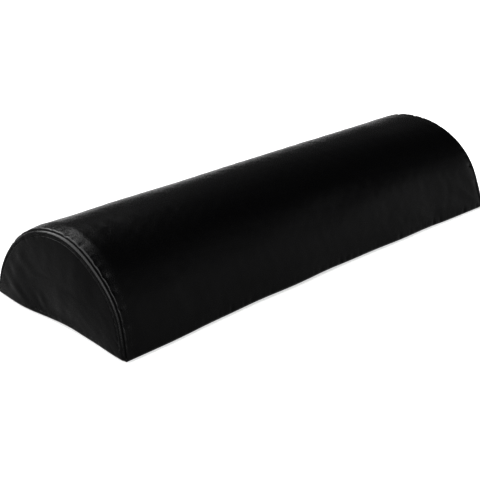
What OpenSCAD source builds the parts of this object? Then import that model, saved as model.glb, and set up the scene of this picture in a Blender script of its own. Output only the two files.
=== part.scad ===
// Half-round bolster pillow: a sewn vinyl cover with a zipped base over a foam filling.
// Millimetres. +X runs along the bolster, -Y is its front, +Z is up.
// The origin is on the floor under the middle of the bolster.

/* [Size] */
// Length over both end panels
length = 660; // [500:10:700]
// Width across the flat base
width = 228; // [224:1:250]
// Height from the floor to the crown
height = 110; // [106:1:112]

/* [Cover] */
// Thickness of the vinyl sheet
vinyl_t = 1; // [0.8:0.1:1.2]
// Width of vinyl turned inside at every seam
seam_allowance = 12; // [9:1:15]
// Diameter of the sewing thread
thread_d = 0.6; // [0.4:0.1:0.8]

/* [Filling] */
// Thickness of the soft foam glued over the curve of the core
topper_t = 12; // [6:1:20]
// Thickness of the non-woven liner around the foam
liner_t = 0.4; // [0.3:0.1:0.8]

/* [Zip] */
// Length of the zip's coils
zip_length = 560; // [400:10:560]
// Half of the slot between the two hems
slot_half_w = 5; // [5:0.5:6]
// Half of the shallow trough that the zip lies in
trough_half_w = 20; // [18:1:22]
// Width of each hem beside the zip
hem_w = 8; // [7:1:9]
// Distance of the topstitching from the fold of the hem
topstitch_inset = 2; // [1.5:0.5:4]
// Width of one zip tape
tape_w = 13; // [11:1:14]
// Thickness of the zip tape
tape_t = 0.5; // [0.4:0.1:0.6]
// Width of one coil row
coil_w = 2.6; // [2.4:0.1:2.8]
// Thickness of the coil rows
coil_h = 1.6; // [1.4:0.1:1.6]
// Length of the slider's body
slider_l = 12; // [10:1:14]
// Width of the slider's body
slider_w = 9; // [8.5:0.1:9]
// Thickness of each slider plate
slider_plate_t = 1; // [0.8:0.1:1.2]
// Length of the pull tab from its crossbar
pull_l = 24; // [18:1:30]
// Width of the pull tab
pull_w = 7; // [6:0.5:9]
// Thickness of the pull tab and of its crossbar
pull_t = 1.2; // [1:0.1:1.3]

/* [Hidden] */

// Air left between sheets that lie on each other
gap = 0.1;
// Reach of the blocks that cut away whatever lies beyond a plane
far = 1000;

// The curved wall is part of a circle whose centre lies just under the floor
wall_r = (height * height + width * width / 4) / (2 * height);
centre_z = height - wall_r;
half_l = length / 2;

// Sheets that lie on each other at a seam, counted inwards from the outside of the cover
inner_r = wall_r - 2 * vinyl_t - gap;     // outside of the layer under the folded wall
flange_r = inner_r - vinyl_t;             // inside of that layer
seam_r = inner_r + gap / 2;               // radius of the end seams
seam_z = 2 * vinyl_t + gap / 2;           // height of the end seams along the base
end_z = 2 * vinyl_t + gap;                // lowest point of the end panels
flange_x = half_l - seam_allowance;       // inner edge of what is turned in at the ends

// Heights in the zip, from the floor up
bail_z = 0.2;
bail_t = 0.75;
bar_play = 0.15;
pull_z = bail_z + bail_t + bar_play + pull_t / 2;
slider_low_z = pull_z + pull_t / 2 + bar_play;
coil_play = 0.3;
coil_z = slider_low_z + slider_plate_t + coil_play;
trough_h = coil_z + coil_h - 2 * vinyl_t;
tape_z = coil_z + coil_h + gap / 2;
slider_top_z = tape_z + tape_t + coil_play;

// Places along the zip and across it
coil_inner_y = 0.55;
coil_outer_y = coil_inner_y + coil_w;
tape_inner_y = 1;
stop_l = 3.4;
top_stop_w = 3.2;
tape_half_l = zip_length / 2 + stop_l + 0.6;
trough_half_l = tape_half_l + 16;
tab_l = trough_half_l - tape_half_l - 1;
slider_x = -zip_length / 2 + slider_l / 2 + 3;

// Groove along the underside of the foam, clear of the zip
relief_half_w = trough_half_w + vinyl_t + 1;
relief_z = slider_top_z + slider_plate_t + 0.8;

// Half width of a circle of radius r about the wall's centre, at height z
function half_width(r, z) = sqrt(r * r - (z - centre_z) * (z - centre_z));

// Stands a drawing of the cross-section (y, z) up and runs it along X
module along_x(from, to) {
    translate([from, 0, 0]) rotate([90, 0, 90]) linear_extrude(to - from) children();
}

// Turns a drawing (radius, x) about the wall's centre line
module turned() {
    translate([0, 0, centre_z]) rotate([0, 90, 0]) rotate_extrude($fn = 180) children();
}

// A round of radius r about the wall's centre, in the cross-section
module round_2d(r) {
    translate([0, centre_z]) circle(r, $fn = 180);
}

// The strip of the cross-section between two heights
module strip_2d(low, high) {
    translate([-far / 2, low]) square([far, high - low]);
}

// The half-round cross-section inside radius r and above height z
module half_round_2d(r, z) {
    intersection() {
        round_2d(r);
        strip_2d(z, far);
    }
}

// Part of a ring of the cross-section, between two radii and two heights
module ring_2d(outer, inner, low, high) {
    intersection() {
        difference() {
            round_2d(outer);
            round_2d(inner);
        }
        strip_2d(low, high);
    }
}

// Everything above height z
module above(z) {
    translate([-far / 2, -far / 2, z]) cube(far);
}

// The line of the end seam: over the curve and back along the base, as a round bar of radius r
module end_seam(side, r) {
    x = side * (half_l - vinyl_t);
    straight = half_width(seam_r, seam_z);
    intersection() {
        turned() translate([seam_r, x]) circle(r, $fn = 32);
        above(seam_z);
    }
    translate([x, 0, seam_z]) rotate([90, 0, 0])
        cylinder(r = r, h = 2 * straight, center = true, $fn = 32);
}

// The line of the seam between the wall and the base, as a round bar of radius r
module base_seam(side, r) {
    clear = 3;
    translate([0, side * half_width(seam_r, vinyl_t), vinyl_t]) rotate([0, 90, 0])
        cylinder(r = r, h = length - 2 * clear, center = true, $fn = 32);
}

// The line where the base panels are sewn to each other beyond the zip
module join_seam(r) {
    for (side = [-1, 1])
        translate([side * (trough_half_l + half_l) / 2, 0, vinyl_t]) rotate([0, 90, 0])
            cylinder(r = r, h = half_l - trough_half_l - 6, center = true, $fn = 32);
}

// The topstitching on a hem, as a round bar of radius r that touches the hem's outer face
module topstitch(side, r) {
    y = side * (slot_half_w + topstitch_inset);
    translate([0, y, trough_h + thread_d / 2]) rotate([0, 90, 0])
        cylinder(r = r, h = 2 * tape_half_l, center = true, $fn = 32);
}

thread_r = thread_d / 2;
channel_r = thread_r + 0.05;

// Curved top sheet with its edges folded under at the ends and along the base
module wall_panel() {
    color([0.04, 0.04, 0.04])
    difference() {
        union() {
            intersection() {
                turned() {
                    translate([wall_r - vinyl_t, -half_l + vinyl_t])
                        square([vinyl_t, length - 2 * vinyl_t]);
                    for (side = [-1, 1]) {
                        mid = side * (half_l - vinyl_t + flange_x) / 2;
                        translate([wall_r - vinyl_t, mid])
                            square([2 * vinyl_t, half_l - vinyl_t - flange_x], center = true);
                        translate([wall_r - vinyl_t, side * (half_l - vinyl_t)])
                            circle(vinyl_t, $fn = 32);
                    }
                }
                above(vinyl_t);
            }
            along_x(-half_l + vinyl_t, half_l - vinyl_t) {
                ring_2d(wall_r, wall_r - 2 * vinyl_t, vinyl_t, seam_allowance);
                for (side = [-1, 1])
                    translate([side * half_width(wall_r - vinyl_t, vinyl_t), vinyl_t])
                        circle(vinyl_t, $fn = 32);
            }
        }
        for (side = [-1, 1]) {
            end_seam(side, channel_r);
            base_seam(side, channel_r);
        }
    }
}

// Quarter of a round of the sheet's thickness, where a sheet turns a corner
module quarter_round() {
    intersection() {
        circle(vinyl_t, $fn = 32);
        square(vinyl_t);
    }
}

// Half-round end sheet with its edge turned in all round; side is -1 at the left, 1 at the right
module end_panel(side) {
    color([0.05, 0.05, 0.05])
    difference() {
        union() {
            intersection() {
                turned() mirror([0, side < 0 ? 1 : 0]) {
                    translate([0, half_l - vinyl_t]) square([flange_r, vinyl_t]);
                    translate([flange_r, flange_x])
                        square([vinyl_t, half_l - vinyl_t - flange_x]);
                    translate([flange_r, half_l - vinyl_t]) quarter_round();
                }
                above(end_z + vinyl_t);
            }
            mirror([side < 0 ? 1 : 0, 0, 0]) intersection() {
                union() {
                    translate([flange_x, -width / 2, end_z])
                        cube([half_l - vinyl_t - flange_x, width, vinyl_t]);
                    translate([half_l - vinyl_t, width / 2, end_z + vinyl_t]) rotate([90, 0, 0])
                        linear_extrude(width) mirror([0, 1]) quarter_round();
                }
                along_x(flange_x, half_l) round_2d(inner_r);
            }
        }
        end_seam(side, channel_r);
    }
}

// Cross-section of the rear base sheet from the slot to its turned-up outer edge
module base_section_2d() {
    difference() {
        ring_2d(inner_r, 0.01, 0, vinyl_t);
        translate([-far + trough_half_w, -1]) square([far, far]);
    }
    intersection() {
        ring_2d(inner_r, flange_r, 0, seam_allowance);
        translate([0, -1]) square(far);
    }
    fold = slot_half_w + hem_w;
    polygon([
        [trough_half_w, 0], [fold, trough_h], [slot_half_w, trough_h],
        [slot_half_w, trough_h + 2 * vinyl_t], [fold, trough_h + 2 * vinyl_t],
        [fold, trough_h + vinyl_t], [trough_half_w + vinyl_t, vinyl_t],
        [trough_half_w + vinyl_t, 0]
    ]);
}

// Right-hand end of the rear base sheet, beyond the trough
module base_end() {
    // flat sheet with its outer edge turned up under the wall
    along_x(trough_half_l, flange_x - gap) {
        intersection() {
            union() {
                ring_2d(inner_r, 0.01, 0, vinyl_t);
                ring_2d(inner_r, flange_r, 0, seam_allowance);
            }
            translate([gap / 2, -1]) square(far);
        }
        // allowance of the short seam that joins the two base sheets
        translate([gap / 2, 0]) square([vinyl_t, seam_allowance / 2]);
    }
    // the end of the sheet is folded back on itself
    intersection() {
        union() {
            translate([flange_x - gap, gap / 2, 0])
                cube([half_l - vinyl_t - flange_x + gap, width / 2, 2 * vinyl_t]);
            translate([half_l - vinyl_t, width / 4 + gap / 2, vinyl_t]) rotate([90, 0, 0])
                cylinder(r = vinyl_t, h = width / 2, center = true, $fn = 32);
        }
        along_x(flange_x - gap, half_l) round_2d(inner_r);
    }
    // riser that closes the end of the trough
    fold = slot_half_w + hem_w;
    along_x(trough_half_l - vinyl_t, trough_half_l)
        polygon([
            [gap / 2, 0], [trough_half_w + vinyl_t, 0], [trough_half_w + vinyl_t, vinyl_t],
            [fold, trough_h + vinyl_t], [fold, trough_h + 2 * vinyl_t],
            [gap / 2, trough_h + 2 * vinyl_t]
        ]);
}

// One of the two flat base sheets; side is -1 at the front, 1 at the rear
module base_panel(side) {
    color([0.06, 0.06, 0.06])
    mirror([0, side < 0 ? 1 : 0, 0])
    difference() {
        union() {
            along_x(-trough_half_l, trough_half_l) base_section_2d();
            base_end();
            mirror([1, 0, 0]) base_end();
        }
        for (end = [-1, 1]) end_seam(end, channel_r);
        base_seam(1, channel_r);
        join_seam(channel_r);
        topstitch(1, channel_r);
    }
}

// Sewing thread in the seam round an end panel
module end_seam_thread(side) {
    color([0.1, 0.1, 0.1]) end_seam(side, thread_r);
}

// Sewing thread in the seam between the wall and the base
module base_seam_thread(side) {
    color([0.1, 0.1, 0.1]) base_seam(side, thread_r);
}

// Sewing thread in the two short seams beyond the zip
module base_join_thread() {
    color([0.1, 0.1, 0.1]) join_seam(thread_r);
}

// Topstitching that holds a hem on its zip tape
module zip_topstitch(side) {
    color([0.12, 0.12, 0.12]) topstitch(side, thread_r);
}

// Woven tape of the zip; side is -1 at the front, 1 at the rear
module zip_tape(side) {
    color([0.08, 0.08, 0.08])
    mirror([0, side < 0 ? 1 : 0, 0])
    translate([-tape_half_l, tape_inner_y, tape_z])
        cube([2 * tape_half_l, tape_w, tape_t]);
}

// One row of the zip's nylon coil
module zip_coil(side) {
    color([0.1, 0.1, 0.1])
    mirror([0, side < 0 ? 1 : 0, 0])
    along_x(-zip_length / 2, zip_length / 2) {
        translate([coil_inner_y, coil_z]) square([coil_w - coil_h / 2, coil_h]);
        translate([coil_outer_y - coil_h / 2, coil_z + coil_h / 2]) circle(coil_h / 2, $fn = 32);
    }
}

// Vinyl tab that closes the slot past an end of the zip
module zip_end_tab(side) {
    color([0.05, 0.05, 0.05])
    translate([side * (tape_half_l + 0.5 + tab_l / 2), 0, tape_z + vinyl_t / 2])
        cube([tab_l, 2 * (slot_half_w + hem_w), vinyl_t], center = true);
}

// Metal clips at the closed end, one on each coil row
module zip_top_stops() {
    color([0.6, 0.6, 0.62])
    for (side = [-1, 1])
        translate([
            -zip_length / 2 - stop_l / 2 - gap, side * (coil_inner_y + top_stop_w / 2),
            coil_z + coil_h / 2
        ])
            cube([stop_l, top_stop_w, coil_h], center = true);
}

// Metal box clip that joins both rows at the open end
module zip_bottom_stop() {
    color([0.6, 0.6, 0.62])
    translate([zip_length / 2 + stop_l / 2 + gap, 0, coil_z + coil_h / 2])
        cube([stop_l, 2 * coil_outer_y, coil_h], center = true);
}

// Outline of a slider plate with round corners
module slider_plate_2d() {
    corner = 1.5;
    square([slider_l - 2 * corner, slider_w], center = true);
    square([slider_l, slider_w - 2 * corner], center = true);
    for (x = [-1, 1], y = [-1, 1])
        translate([x * (slider_l / 2 - corner), y * (slider_w / 2 - corner)])
            circle(corner, $fn = 32);
}

// Slider with both plates, side walls, dividing post and the bail that holds the pull
module zip_slider() {
    wall_w = slider_w / 2 - coil_outer_y - 0.35;
    post_l = 4;
    post_half_w = 0.25;
    bail_w = 1.6;
    bail_l = 7;
    leg_l = 1.2;
    color([0.35, 0.35, 0.37])
    translate([slider_x, 0, 0]) {
        translate([0, 0, slider_low_z]) linear_extrude(slider_plate_t) slider_plate_2d();
        translate([0, 0, slider_top_z]) linear_extrude(slider_plate_t) slider_plate_2d();
        // post between the coil rows, at the leading end
        translate([-slider_l / 2 + 0.5, -post_half_w, slider_low_z + slider_plate_t / 2])
            cube([post_l, 2 * post_half_w, slider_top_z - slider_low_z]);
        // side walls outside the coil rows, under the tapes
        for (side = [-1, 1])
            translate([0, side * (slider_w / 2 - wall_w / 2), slider_low_z + slider_plate_t + 0.6])
                cube([slider_l - 4, wall_w, 1.6], center = true);
        // bail under the outer plate
        translate([-bail_l / 2, -bail_w / 2, bail_z]) cube([bail_l, bail_w, bail_t]);
        for (side = [-1, 1])
            translate([side * (bail_l - leg_l) / 2, 0, (bail_z + slider_low_z) / 2 + 0.1])
                cube([leg_l, bail_w, slider_low_z - bail_z + 0.2], center = true);
    }
}

// Pull tab: a crossbar through the bail, two arms and a grip plate with a slot
module zip_pull() {
    arm_in = 1.3;
    arm_w = 1.3;
    arm_l = 5.5;
    grip_l = pull_l - arm_l - pull_w / 2;
    color([0.35, 0.35, 0.37])
    translate([slider_x, 0, pull_z]) {
        rotate([90, 0, 0])
            cylinder(d = pull_t, h = 2 * (arm_in + arm_w), center = true, $fn = 32);
        translate([0, 0, -pull_t / 2]) linear_extrude(pull_t) {
            for (side = [-1, 1])
                translate([arm_l / 2, side * (arm_in + arm_w / 2)])
                    square([arm_l + 0.02, arm_w], center = true);
            difference() {
                union() {
                    translate([arm_l, -pull_w / 2]) square([grip_l, pull_w]);
                    translate([arm_l + grip_l, 0]) circle(pull_w / 2, $fn = 48);
                }
                translate([arm_l + grip_l, 0]) circle(pull_w / 4, $fn = 32);
            }
        }
    }
}

// The whole filling, drawn in by d all over
module filling(d) {
    main_r = wall_r - vinyl_t - gap - d;
    step_r = flange_r - gap - d;
    end_x = half_l - vinyl_t - gap - d;
    step_x = flange_x - gap - d;
    cut_w = 50;
    difference() {
        along_x(-end_x, end_x) half_round_2d(main_r, vinyl_t + gap + d);
        // room for the sheets turned in at the ends
        for (side = [-1, 1]) {
            turned() mirror([0, side < 0 ? 1 : 0])
                translate([step_r, step_x]) square(cut_w);
            mirror([side < 0 ? 1 : 0, 0, 0])
                translate([step_x, -far / 2, -1])
                    cube([far, far, 1 + end_z + vinyl_t + gap + d]);
        }
        // room for the sheets turned up along the base
        along_x(-half_l, half_l)
            ring_2d(wall_r + 1, step_r, 0, seam_allowance + gap + d);
        // groove over the zip
        translate([-half_l, -relief_half_w - d, -1])
            cube([length, 2 * (relief_half_w + d), 1 + relief_z + d]);
    }
}

core_r = wall_r - vinyl_t - gap - liner_t - topper_t;

// Thin non-woven sleeve around the foam
module core_liner() {
    color([0.9, 0.9, 0.88])
    difference() {
        filling(0);
        filling(liner_t);
    }
}

// Soft foam over the curve of the core
module foam_topper() {
    color([0.95, 0.9, 0.6])
    difference() {
        filling(liner_t + gap);
        along_x(-half_l, half_l) round_2d(core_r + gap);
    }
}

// Firm half-round foam core
module foam_core() {
    color([0.8, 0.8, 0.85])
    intersection() {
        filling(liner_t + gap);
        along_x(-half_l, half_l) round_2d(core_r);
    }
}

wall_panel();
end_panel(-1);  // end_panel_left
end_panel(1);  // end_panel_right
base_panel(-1);  // base_panel_front
base_panel(1);  // base_panel_rear
end_seam_thread(-1);  // end_seam_thread_left
end_seam_thread(1);  // end_seam_thread_right
base_seam_thread(-1);  // base_seam_thread_front
base_seam_thread(1);  // base_seam_thread_rear
base_join_thread();
zip_tape(-1);  // zip_tape_front
zip_tape(1);  // zip_tape_rear
zip_coil(-1);  // zip_coil_front
zip_coil(1);  // zip_coil_rear
zip_topstitch(-1);  // zip_topstitch_front
zip_topstitch(1);  // zip_topstitch_rear
zip_end_tab(-1);  // zip_end_tab_left
zip_end_tab(1);  // zip_end_tab_right
zip_top_stops();
zip_bottom_stop();
zip_slider();
zip_pull();
core_liner();
foam_topper();
foam_core();
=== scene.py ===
"""Looks for the half-round bolster pillow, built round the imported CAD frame.

Lengths are metres in the CAD's own frame: +X along the bolster, -Y its front, +Z up.
Every sewn sheet is a grid of points: its edges roll over into a shared seam valley,
its middle follows the foam, and a thin second skin gives it the vinyl's thickness.
"""
import math

import bmesh
import bpy
import numpy as np
from mathutils import Matrix, Vector, kdtree


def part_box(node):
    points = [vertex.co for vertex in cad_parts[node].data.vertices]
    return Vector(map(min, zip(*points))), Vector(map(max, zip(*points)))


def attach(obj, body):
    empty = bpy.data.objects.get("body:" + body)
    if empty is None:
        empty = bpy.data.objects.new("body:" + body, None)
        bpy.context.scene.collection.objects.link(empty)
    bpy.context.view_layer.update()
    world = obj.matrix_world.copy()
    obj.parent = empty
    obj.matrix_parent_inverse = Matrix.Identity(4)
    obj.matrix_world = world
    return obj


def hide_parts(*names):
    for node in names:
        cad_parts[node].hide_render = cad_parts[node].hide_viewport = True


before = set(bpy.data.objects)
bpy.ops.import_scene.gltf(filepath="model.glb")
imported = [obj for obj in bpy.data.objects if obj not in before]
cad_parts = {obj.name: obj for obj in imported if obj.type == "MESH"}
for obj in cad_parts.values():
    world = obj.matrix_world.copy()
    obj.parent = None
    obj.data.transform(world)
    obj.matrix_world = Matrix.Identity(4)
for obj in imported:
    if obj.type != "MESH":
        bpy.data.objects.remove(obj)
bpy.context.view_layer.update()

MM = 0.001
SEED = 7

# ---------------- sizes from the frame
low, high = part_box("wall_panel")
HALF_L = (high.x - low.x) / 2
HALF_W = (high.y - low.y) / 2
HEIGHT = high.z - low.z
WALL_R = (HEIGHT ** 2 + HALF_W ** 2) / (2 * HEIGHT)
CENTRE_Z = HEIGHT - WALL_R
EDGE_ANGLE = math.acos(-CENTRE_Z / WALL_R)      # from the crown down to the floor

# ---------------- sheets and seams
VINYL_T = 1.0 * MM
ROLL_R = 2.1 * MM                # radius of the rolled edge on each side of a seam
TAIL = 2.4 * MM                  # how far a sheet runs inwards past its seam
CONTACT = (1 + 1 / math.sqrt(2)) * ROLL_R       # depth at which two rolled edges touch
ROLL_END = (1 + math.sqrt(2)) * ROLL_R          # where the roll joins the flat sheet
ROLL_ARC = 0.75 * math.pi * ROLL_R              # length of sheet in one roll
STITCH = 3.3 * MM                # length of one stitch
THREAD_R = 0.3 * MM
# how far from both faces of a corner a thread lies when it rests on the two rolls
VALLEY_OUT = CONTACT - math.sqrt((ROLL_R + THREAD_R) ** 2 - ROLL_R ** 2) / math.sqrt(2)


def smooth(low_edge, high_edge, value):
    """0 below low_edge, 1 above high_edge, with an even S between."""
    t = np.clip((value - low_edge) / (high_edge - low_edge), 0, 1)
    return t * t * (3 - 2 * t)


def roll(q):
    """Where a sheet runs as it rolls over into a seam: (distance from the corner, depth) for a length q
    of sheet from the line where the two sheets touch. Negative q is the sheet's hidden tail."""
    q = np.asarray(q, float)
    turn = 0.75 * math.pi - np.clip(q, 0, ROLL_ARC) / ROLL_R
    along = ROLL_END - ROLL_R * np.sin(turn) + np.clip(q - ROLL_ARC, 0, None)
    depth = ROLL_R - ROLL_R * np.cos(turn)
    inside = np.clip(-q, 0, None) / math.sqrt(2)
    return along + inside, depth + inside


def both(depth_u, depth_v):
    """Depth near a corner where two seams meet."""
    return (depth_u ** 3 + depth_v ** 3) ** (1 / 3)


def seam_lengths():
    """Lengths of sheet at which a grid has a row beside a seam: the tail, the roll and just past it."""
    return np.concatenate([
        np.linspace(-TAIL, 0, 4)[:-1],
        np.linspace(0, ROLL_ARC, 13)[:-1],
        ROLL_ARC + np.cumsum([0, .45, .5, .6, .7, .8, .9, 1, 1.1, 1.2]) * MM,
    ])


def lengths(total, coarse):
    """Lengths of sheet at which a grid has a row, from one seam to the next: coarser between them."""
    start = seam_lengths()
    gap = total - 2 * start[-1]
    middle = np.linspace(0, gap, max(2, int(gap / coarse)) + 1)[1:-1] + start[-1]
    return np.concatenate([start, middle, total - start[::-1]])


def two_ended(total, coarse):
    """(position from one corner towards the other, depth) along a sheet with a seam at both ends.
    total is the distance from corner to corner."""
    sheet = total - 2 * (ROLL_END - ROLL_ARC)
    q = lengths(sheet, coarse)
    from_end = np.minimum(q, sheet - q)
    along, depth = roll(from_end)
    return np.where(q < sheet / 2, along, total - along), depth


# ---------------- smooth random fields
def waves(seed, count, shortest, longest, stretch=(1, 1, 1)):
    """A smooth random field: a sum of plane waves of random heading, stretched along an axis."""
    rng = np.random.default_rng(SEED * 1000 + seed)
    heading = rng.normal(size=(count, 3))
    heading /= np.linalg.norm(heading, axis=1)[:, None]
    length = np.exp(rng.uniform(math.log(shortest), math.log(longest), count))
    k = heading * (2 * math.pi / length)[:, None] / np.array(stretch)
    phase = rng.uniform(0, 2 * math.pi, count)

    def field(points):
        points = np.asarray(points, float)
        total = np.zeros(points.shape[:-1])
        for wave, shift in zip(k, phase):
            total += np.sin(points @ wave + shift)
        return total / math.sqrt(count / 2)

    return field


def along_noise(seed, shortest, longest, count=40):
    """A smooth random function of one length, about 1 high."""
    rng = np.random.default_rng(SEED * 1000 + seed)
    k = 2 * math.pi / np.exp(rng.uniform(math.log(shortest), math.log(longest), count))
    phase = rng.uniform(0, 2 * math.pi, count)
    return lambda s: np.sin(np.multiply.outer(s, k) + phase).sum(-1) / math.sqrt(count / 2)


# ---------------- how the whole cover gives
PROUD = 1.6 * MM                 # how far the padded cover stands out beyond its pattern
END_PROUD = 1.9 * MM             # and how far its end seams do
BASE_PINCH = 1.2 * MM            # how far the long base edges pull in at mid-length
BASE_FLARE = (5.8 * MM, 7.2 * MM)               # how much further out they are at each end's corners
FLARE_POWER = (2.1, 1.4)         # how late along the edge the flare sets in, left and right
RIGHT_HAUNCH = 2.6 * MM          # how much fuller the cover is beside its crown at the right end
RIGHT_CROWN = 0.9 * MM           # and how much lower at its crown
BASE_LIFT = 0.9 * MM             # how far they lift off the floor at mid-length
# where the bottom edge of an end bellies out, towards the zip's closed end: (y, half width, how far)
END_BELLIES = [(62 * MM, 34 * MM, 4.4 * MM), (-104 * MM, 42 * MM, 5.2 * MM)]
END_TUCK = (-16 * MM, 30 * MM, 1.7 * MM)        # and where it lifts between them
SHOULDER_A = 18 * MM             # the foam's squeezed end shows as a sloping band this wide
SHOULDER_H = 2.8 * MM            # and this deep at the seam
CREST_H = 0.6 * MM               # the wall swells this much just before the band
drift = [waves(1 + i, 14, 90 * MM, 260 * MM) for i in range(3)]


def bell(value, middle, width):
    return np.exp(-((value - middle) / width) ** 2)


def one_sided(value, middle, before, after):
    """A bell that is steep before its middle and gentle after it."""
    return bell(value, middle, np.where(value < middle, before, after))


def settle(points):
    """The cover's overall slackness, the same for every sheet so that seams stay closed."""
    p = np.array(points, float)
    x, y, z = p[..., 0], p[..., 1], p[..., 2]
    p = p + cloth_moves(p)
    # padding pushes the curve out, and the seams stand a little further out than the panels
    radius = np.hypot(y, z - CENTRE_Z)
    push = PROUD * np.clip(radius / WALL_R, 0, 1.1) ** 4
    push += 0.5 * MM * smooth(HALF_L - 45 * MM, HALF_L, np.abs(x)) * smooth(0.8, 0.98, radius / WALL_R)
    push *= 1 - 0.6 * smooth(0.15 * HALF_L, 0.95 * HALF_L, x)
    # towards the right end the crown is flatter and the haunches are fuller
    lean = np.degrees(np.abs(np.arctan2(y, z - CENTRE_Z)))
    right_end = smooth(0.45 * HALF_L, 0.95 * HALF_L, x) * np.clip(radius / WALL_R, 0, 1) ** 4
    push += right_end * (RIGHT_HAUNCH * bell(lean, 50, 24) - RIGHT_CROWN * bell(lean, 0, 16))
    # the foam's squeezed end: a low crest, then a straight slope down to the end seam
    to_base = (EDGE_ANGLE - np.abs(np.arctan2(y, z - CENTRE_Z))) * WALL_R
    to_end = HALF_L - np.abs(x)
    crown = smooth(30 * MM, 110 * MM, to_base)
    band = SHOULDER_A * (0.62 + 0.38 * crown) * (1 + 0.05 * np.sin(y / (19 * MM) + x))
    slope = np.clip(1 - to_end / band, 0, 1) * smooth(0, 12 * MM, to_base)
    shoulder = CREST_H * crown * np.where(to_end > band, bell(to_end, band, 34 * MM), 1.0)
    shoulder -= SHOULDER_H * (0.45 + 0.55 * crown) * slope
    shoulder *= 1 - 0.85 * smooth(0, 0.6 * HALF_L, x)
    push += shoulder * np.clip(radius / WALL_R, 0, 1) ** 4
    p[..., 1] += push * y / radius
    p[..., 2] += push * (z - CENTRE_Z) / radius * smooth(0, 25 * MM, z)
    near_end = smooth(HALF_L - 28 * MM, HALF_L - 2 * MM, np.abs(x))
    p[..., 0] += np.sign(x) * END_PROUD * near_end
    # long base edges: pulled in at mid-length, flared at the corners
    free = np.maximum(smooth(26 * MM, 60 * MM, np.abs(y)), smooth(12 * MM, 40 * MM, z))
    edge = bell(z, 0, 24 * MM) * smooth(55 * MM, HALF_W, np.abs(y))
    along = np.clip(np.abs(x) / HALF_L, 0, 1)
    wobble = 0.22 * np.sin(x / (31 * MM) + 0.8) + 0.16 * np.sin(x / (17 * MM) + 2.1)
    flare = np.where(x < 0, *BASE_FLARE) * along ** np.where(x < 0, *FLARE_POWER)
    flare *= np.where(y < 0, 1.0, 0.25)
    p[..., 1] += np.sign(y) * edge * (flare - BASE_PINCH - 1.5 * MM * wobble)
    p[..., 2] += edge * BASE_LIFT * np.clip(1 - 1.9 * along ** 2 + wobble, 0, None)
    # bottom edges of the ends: bellied out either side of a tuck
    towards = np.where(x < 0, y, -0.9 * y)
    low_end = bell(z, 0, 34 * MM) * smooth(HALF_L - 34 * MM, HALF_L - 4 * MM, np.abs(x))
    belly = sum(far * bell(towards, middle, width) for middle, width, far in END_BELLIES)
    p[..., 0] += np.where(x < 0, -1.0, 0.4) * low_end * belly
    p[..., 2] += low_end * END_TUCK[2] * bell(towards, *END_TUCK[:2]) * bell(z, 0, 16 * MM)
    for axis, amount in enumerate((0.5, 0.45, 0.2)):
        p[..., axis] += amount * MM * free * drift[axis](points)
    p[..., 2] = np.maximum(p[..., 2], 0.02 * MM)
    return p


# ---------------- mesh helpers
def link_object(name, mesh, material, smooth_shade=True):
    """An object in the scene from mesh data and its one material."""
    for polygon in mesh.polygons:
        polygon.use_smooth = smooth_shade
    mesh.materials.append(material)
    obj = bpy.data.objects.new(name, mesh)
    bpy.context.scene.collection.objects.link(obj)
    return obj


def new_object(name, points, faces, material, smooth_shade=True):
    mesh = bpy.data.meshes.new(name)
    mesh.from_pydata([tuple(p) for p in points], [], [tuple(f) for f in faces])
    mesh.validate()
    mesh.update()
    return link_object(name, mesh, material, smooth_shade)


def normals_of(grid, wrap=False):
    """Unit normals of a grid of points, by differences along both of its directions."""
    du = np.gradient(grid, axis=0)
    if wrap:
        dv = (np.roll(grid, -1, axis=1) - np.roll(grid, 1, axis=1)) / 2
    else:
        dv = np.gradient(grid, axis=1)
    n = np.cross(du, dv)
    size = np.linalg.norm(n, axis=-1, keepdims=True)
    return n / np.maximum(size, 1e-12)


def quads(rows, columns, wrap=False):
    i, j = np.meshgrid(np.arange(rows - 1), np.arange(columns if wrap else columns - 1), indexing="ij")
    k = (j + 1) % columns
    a, b, c, d = i * columns + j, (i + 1) * columns + j, (i + 1) * columns + k, i * columns + k
    return np.stack([a, b, c, d], -1).reshape(-1, 4)


def shell(name, grid, thickness, material, wrap=False, flip=False):
    """A closed thin sheet whose outer face is the grid. With wrap the grid's columns join up,
    and its last row closes on a point at its middle."""
    rows, columns = grid.shape[:2]
    n = normals_of(grid, wrap) * (-1 if flip else 1)
    inner = grid - thickness * n
    count = rows * columns
    outside = quads(rows, columns, wrap)
    points = [grid.reshape(-1, 3), inner.reshape(-1, 3)]
    faces = [outside, outside[:, ::-1] + count]

    def rim(ids):
        ids = np.asarray(ids)
        after = np.roll(ids, -1) if wrap else ids[1:]
        ids = ids if wrap else ids[:-1]
        return np.stack([ids, after, after + count, ids + count], -1)

    ids = np.arange(count).reshape(rows, columns)
    faces.append(rim(ids[0]))
    extra = []
    if wrap:
        middle = [grid[-1].mean(0), inner[-1].mean(0)]
        points.append(np.array(middle))
        top, bottom = 2 * count, 2 * count + 1
        last, after = ids[-1], np.roll(ids[-1], -1)
        extra = [(a, top, b) for a, b in zip(last, after)]
        extra += [(b + count, bottom, a + count) for a, b in zip(last, after)]
    else:
        faces += [rim(ids[-1])[:, ::-1], rim(ids[:, 0])[:, ::-1], rim(ids[:, -1])]
    faces = [tuple(f) for batch in faces for f in batch] + extra
    if flip:
        faces = [f[::-1] for f in faces]
    return new_object(name, np.concatenate(points), faces, material)


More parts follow.
